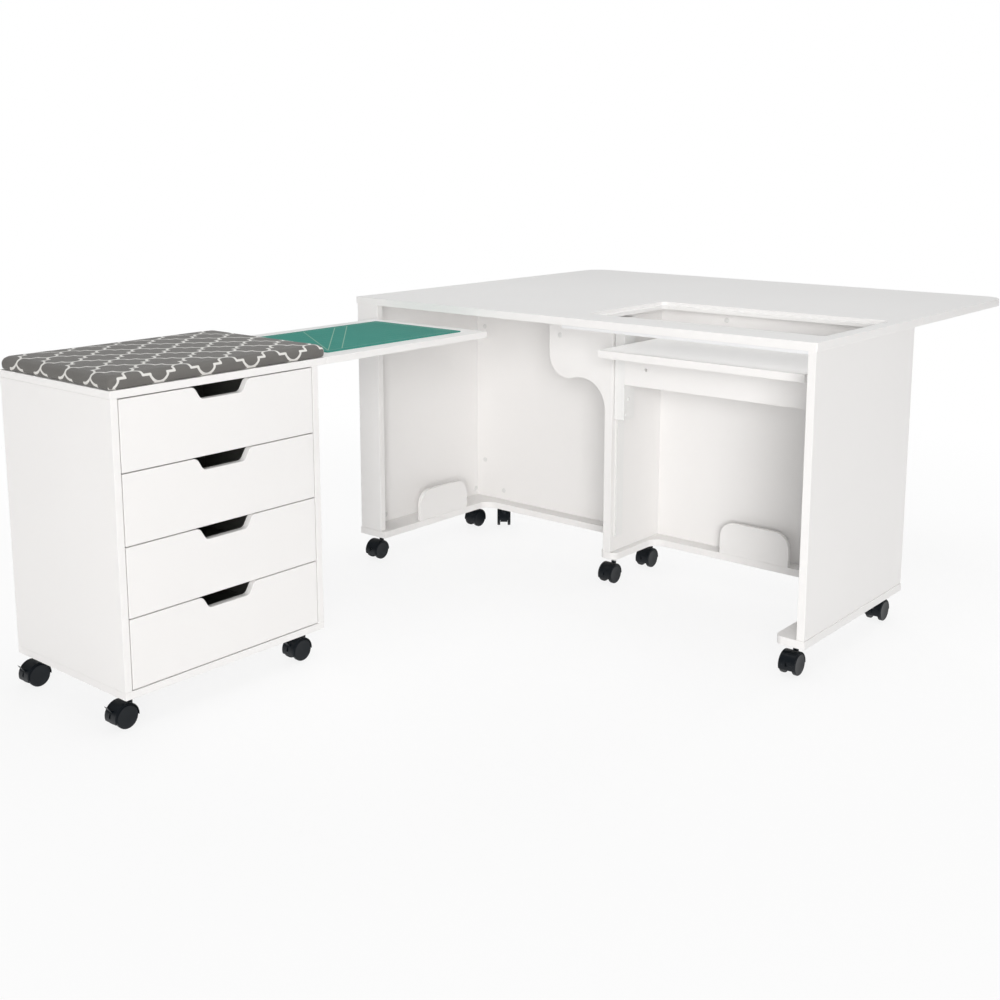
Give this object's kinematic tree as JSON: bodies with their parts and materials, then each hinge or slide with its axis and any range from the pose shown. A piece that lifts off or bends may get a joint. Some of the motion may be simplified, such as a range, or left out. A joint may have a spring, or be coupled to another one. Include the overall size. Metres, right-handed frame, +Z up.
{
  "type": "folding sewing cutting table",
  "caption": "White sewing and cutting table on casters with a drop leaf, machine lift and knee bays, and a rolling drawer caddy with a pressing pad and cutting mat.",
  "frame": {"origin": "on the floor, in the middle of the whole set's outline", "axes": "+X to the sitter's right, +Y to the back of the table, +Z up"},
  "size_m": [1.395, 2.269, 0.75],
  "materials": {
    "white_laminate": "satin white laminate on board",
    "stiffener_metal": "satin cool white",
    "zinc_steel": "zinc plated",
    "track_white": "satin white",
    "pad_cloth": "printed cotton, trellis",
    "mat_green": "matt, ruled grid",
    "caster_black": "satin black nylon"
  },
  "bodies": {
    "table": {"table_top": "white_laminate", "front_stiffener": "stiffener_metal", "right_side_panel": "white_laminate", "left_side_panel": "white_laminate", "left_front_post": "white_laminate", "back_panels": "white_laminate", "divider_panel": "white_laminate", "scalloped_bracket": "white_laminate", "left_base_rail": "white_laminate", "right_base_rail": "white_laminate", "ruler_pockets": "white_laminate", "lift_tracks": "track_white", "rear_hinge_brackets": "zinc_steel"},
    "lift": {"lift_carriages": "track_white", "lift_beam": "white_laminate", "lift_platform": "white_laminate"},
    "rear_leaf": {"rear_leaf": "white_laminate", "rear_leaf_hinges": "zinc_steel"},
    "rear_stays": {"rear_leaf_stays": "zinc_steel"},
    "caddy_leaf": {"caddy_leaf": "white_laminate", "cutting_mat": "mat_green", "caddy_leaf_hinges": "zinc_steel"},
    "caddy_stay": {"caddy_leaf_stay": "zinc_steel"},
    "drawer_1": {"drawer_1_front": "white_laminate", "drawer_1_box": "white_laminate"},
    "drawer_2": {"drawer_2_front": "white_laminate", "drawer_2_box": "white_laminate"},
    "drawer_3": {"drawer_3_front": "white_laminate", "drawer_3_box": "white_laminate"},
    "drawer_4": {"drawer_4_front": "white_laminate", "drawer_4_box": "white_laminate"},
    "caddy": {"caddy_side_panels": "white_laminate", "caddy_back_panel": "white_laminate", "caddy_base": "white_laminate", "caddy_top": "white_laminate", "drawer_runners": "zinc_steel", "pressing_pad": "pad_cloth", "caddy_hinge_brackets": "zinc_steel"},
    "caster_right_front": {"caster_hood_right_front": "caster_black"},
    "wheels_right_front": {"caster_wheels_right_front": "caster_black"},
    "caster_right_rear": {"caster_hood_right_rear": "caster_black"},
    "wheels_right_rear": {"caster_wheels_right_rear": "caster_black"},
    "caster_middle_front": {"caster_hood_middle_front": "caster_black"},
    "wheels_middle_front": {"caster_wheels_middle_front": "caster_black"},
    "caster_middle_rear": {"caster_hood_middle_rear": "caster_black"},
    "wheels_middle_rear": {"caster_wheels_middle_rear": "caster_black"},
    "caster_left_front": {"caster_hood_left_front": "caster_black"},
    "wheels_left_front": {"caster_wheels_left_front": "caster_black"},
    "caster_left_rear": {"caster_hood_left_rear": "caster_black"},
    "wheels_left_rear": {"caster_wheels_left_rear": "caster_black"},
    "caster_back": {"caster_hood_back": "caster_black"},
    "wheels_back": {"caster_wheels_back": "caster_black"},
    "caster_caddy_front_near": {"caster_hood_caddy_front_near": "caster_black"},
    "wheels_caddy_front_near": {"caster_wheels_caddy_front_near": "caster_black"},
    "caster_caddy_front_far": {"caster_hood_caddy_front_far": "caster_black"},
    "wheels_caddy_front_far": {"caster_wheels_caddy_front_far": "caster_black"},
    "caster_caddy_back_near": {"caster_hood_caddy_back_near": "caster_black"},
    "wheels_caddy_back_near": {"caster_wheels_caddy_back_near": "caster_black"},
    "caster_caddy_back_far": {"caster_hood_caddy_back_far": "caster_black"},
    "wheels_caddy_back_far": {"caster_wheels_caddy_back_far": "caster_black"}
  },
  "joints": [
    {"name": "lift_slide", "type": "slide", "parent": "table", "child": "lift", "axis": [0, 0, 1], "range_m": [-0.25, 0]},
    {"name": "rear_leaf_drop", "type": "hinge", "parent": "table", "child": "rear_leaf", "pos_m": [0, 0.555, 0.7274], "axis": [-1, 0, 0], "range_deg": [0, 90]},
    {"name": "rear_stay_fold", "type": "hinge", "parent": "table", "child": "rear_stays", "pos_m": [0, 0.5195, 0.5947], "axis": [-1, 0, 0], "range_deg": [0, 108]},
    {"name": "caddy_roll", "type": "slide", "parent": "table", "child": "caddy", "axis": [0, -1, 0], "range_m": [0, 0.5]},
    {"name": "caddy_leaf_drop", "type": "hinge", "parent": "caddy", "child": "caddy_leaf", "pos_m": [0, -0.557, 0.6754], "axis": [-1, 0, 0], "range_deg": [0, 90]},
    {"name": "caddy_stay_fold", "type": "hinge", "parent": "caddy", "child": "caddy_stay", "pos_m": [-0.5725, -0.5725, 0.5727], "axis": [-1, 0, 0], "range_deg": [0, 110]},
    {"name": "drawer_1_slide", "type": "slide", "parent": "caddy", "child": "drawer_1", "axis": [1, 0, 0], "range_m": [0, 0.28]},
    {"name": "drawer_2_slide", "type": "slide", "parent": "caddy", "child": "drawer_2", "axis": [1, 0, 0], "range_m": [0, 0.28]},
    {"name": "drawer_3_slide", "type": "slide", "parent": "caddy", "child": "drawer_3", "axis": [1, 0, 0], "range_m": [0, 0.28]},
    {"name": "drawer_4_slide", "type": "slide", "parent": "caddy", "child": "drawer_4", "axis": [1, 0, 0], "range_m": [0, 0.28]},
    {"name": "swivel_right_front", "type": "hinge", "parent": "table", "child": "caster_right_front", "pos_m": [0.659, 0.0345, 0.068], "axis": [0, 0, 1], "continuous": true},
    {"name": "roll_right_front", "type": "hinge", "parent": "caster_right_front", "child": "wheels_right_front", "pos_m": [0.659, 0.0165, 0.025], "axis": [1, 0, 0], "continuous": true},
    {"name": "swivel_right_rear", "type": "hinge", "parent": "table", "child": "caster_right_rear", "pos_m": [0.659, 0.4835, 0.068], "axis": [0, 0, 1], "continuous": true},
    {"name": "roll_right_rear", "type": "hinge", "parent": "caster_right_rear", "child": "wheels_right_rear", "pos_m": [0.659, 0.4655, 0.025], "axis": [1, 0, 0], "continuous": true},
    {"name": "swivel_middle_front", "type": "hinge", "parent": "table", "child": "caster_middle_front", "pos_m": [-0.014, 0.2875, 0.068], "axis": [0, 0, 1], "continuous": true},
    {"name": "roll_middle_front", "type": "hinge", "parent": "caster_middle_front", "child": "wheels_middle_front", "pos_m": [-0.014, 0.2695, 0.025], "axis": [1, 0, 0], "continuous": true},
    {"name": "swivel_middle_rear", "type": "hinge", "parent": "table", "child": "caster_middle_rear", "pos_m": [-0.014, 0.4675, 0.068], "axis": [0, 0, 1], "continuous": true},
    {"name": "roll_middle_rear", "type": "hinge", "parent": "caster_middle_rear", "child": "wheels_middle_rear", "pos_m": [-0.014, 0.4495, 0.025], "axis": [1, 0, 0], "continuous": true},
    {"name": "swivel_left_front", "type": "hinge", "parent": "table", "child": "caster_left_front", "pos_m": [-0.6485, 0.0345, 0.068], "axis": [0, 0, 1], "continuous": true},
    {"name": "roll_left_front", "type": "hinge", "parent": "caster_left_front", "child": "wheels_left_front", "pos_m": [-0.6485, 0.0165, 0.025], "axis": [1, 0, 0], "continuous": true},
    {"name": "swivel_left_rear", "type": "hinge", "parent": "table", "child": "caster_left_rear", "pos_m": [-0.6485, 0.4255, 0.068], "axis": [0, 0, 1], "continuous": true},
    {"name": "roll_left_rear", "type": "hinge", "parent": "caster_left_rear", "child": "wheels_left_rear", "pos_m": [-0.6485, 0.4435, 0.025], "axis": [-1, 0, 0], "continuous": true},
    {"name": "swivel_back", "type": "hinge", "parent": "table", "child": "caster_back", "pos_m": [-0.5705, 0.4895, 0.068], "axis": [0, 0, 1], "continuous": true},
    {"name": "roll_back", "type": "hinge", "parent": "caster_back", "child": "wheels_back", "pos_m": [-0.58207, 0.50329, 0.025], "axis": [-0.766, -0.6428, 0], "continuous": true},
    {"name": "swivel_caddy_front_near", "type": "hinge", "parent": "caddy", "child": "caster_caddy_front_near", "pos_m": [-0.2505, -1.0805, 0.068], "axis": [0, 0, 1], "continuous": true},
    {"name": "roll_caddy_front_near", "type": "hinge", "parent": "caster_caddy_front_near", "child": "wheels_caddy_front_near", "pos_m": [-0.2505, -1.0985, 0.025], "axis": [1, 0, 0], "continuous": true},
    {"name": "swivel_caddy_front_far", "type": "hinge", "parent": "caddy", "child": "caster_caddy_front_far", "pos_m": [-0.2505, -0.6165, 0.068], "axis": [0, 0, 1], "continuous": true},
    {"name": "roll_caddy_front_far", "type": "hinge", "parent": "caster_caddy_front_far", "child": "wheels_caddy_front_far", "pos_m": [-0.2505, -0.6345, 0.025], "axis": [1, 0, 0], "continuous": true},
    {"name": "swivel_caddy_back_near", "type": "hinge", "parent": "caddy", "child": "caster_caddy_back_near", "pos_m": [-0.5775, -1.0805, 0.068], "axis": [0, 0, 1], "continuous": true},
    {"name": "roll_caddy_back_near", "type": "hinge", "parent": "caster_caddy_back_near", "child": "wheels_caddy_back_near", "pos_m": [-0.5775, -1.0985, 0.025], "axis": [1, 0, 0], "continuous": true},
    {"name": "swivel_caddy_back_far", "type": "hinge", "parent": "caddy", "child": "caster_caddy_back_far", "pos_m": [-0.5775, -0.6165, 0.068], "axis": [0, 0, 1], "continuous": true},
    {"name": "roll_caddy_back_far", "type": "hinge", "parent": "caster_caddy_back_far", "child": "wheels_caddy_back_far", "pos_m": [-0.5775, -0.6345, 0.025], "axis": [1, 0, 0], "continuous": true}
  ],
  "couplings": [
    {"joint": "rear_stay_fold", "follows": "rear_leaf_drop", "ratio": 1.1958},
    {"joint": "caddy_stay_fold", "follows": "caddy_leaf_drop", "ratio": 1.2217}
  ]
}
